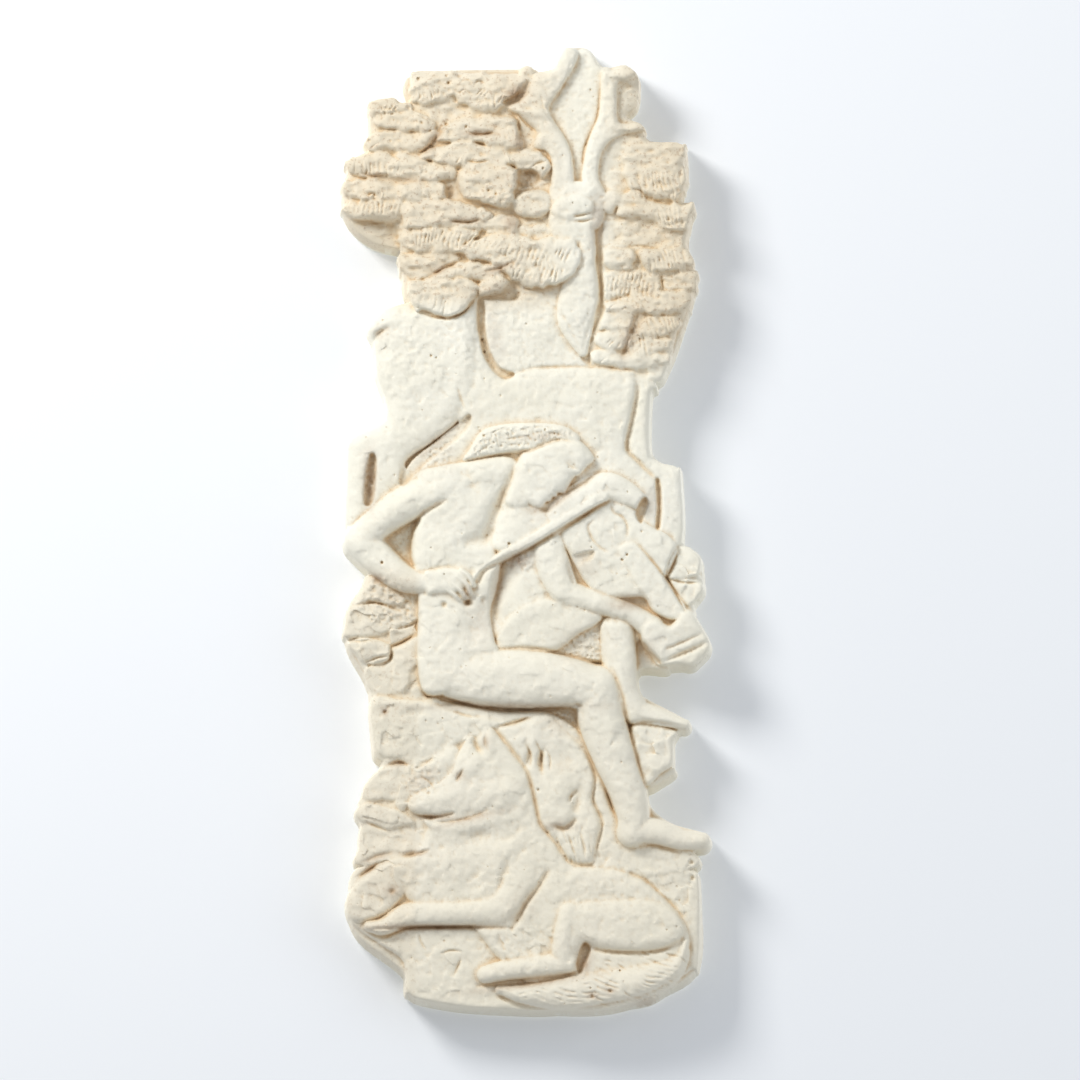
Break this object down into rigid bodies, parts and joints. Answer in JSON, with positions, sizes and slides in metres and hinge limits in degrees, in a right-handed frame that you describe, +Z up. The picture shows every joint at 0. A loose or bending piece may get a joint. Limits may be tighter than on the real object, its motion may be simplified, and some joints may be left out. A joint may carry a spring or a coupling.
{
  "type": "plaster wall relief",
  "caption": "Tall cast plaster wall relief with a flat back: a seated fiddler with a stag below a tree, above resting animals.",
  "frame": {"origin": "middle of the flat back face, where it rests against the wall", "axes": "+Z up the wall along the relief's height, +X to the viewer's right, +Y into the wall; the carved front faces -Y"},
  "size_m": [0.2244, 0.0445, 0.5853],
  "materials": {
    "plaster": "matt cream cast plaster with ochre patina in the recesses"
  },
  "bodies": {
    "root": {"relief": "plaster"}
  },
  "joints": []
}
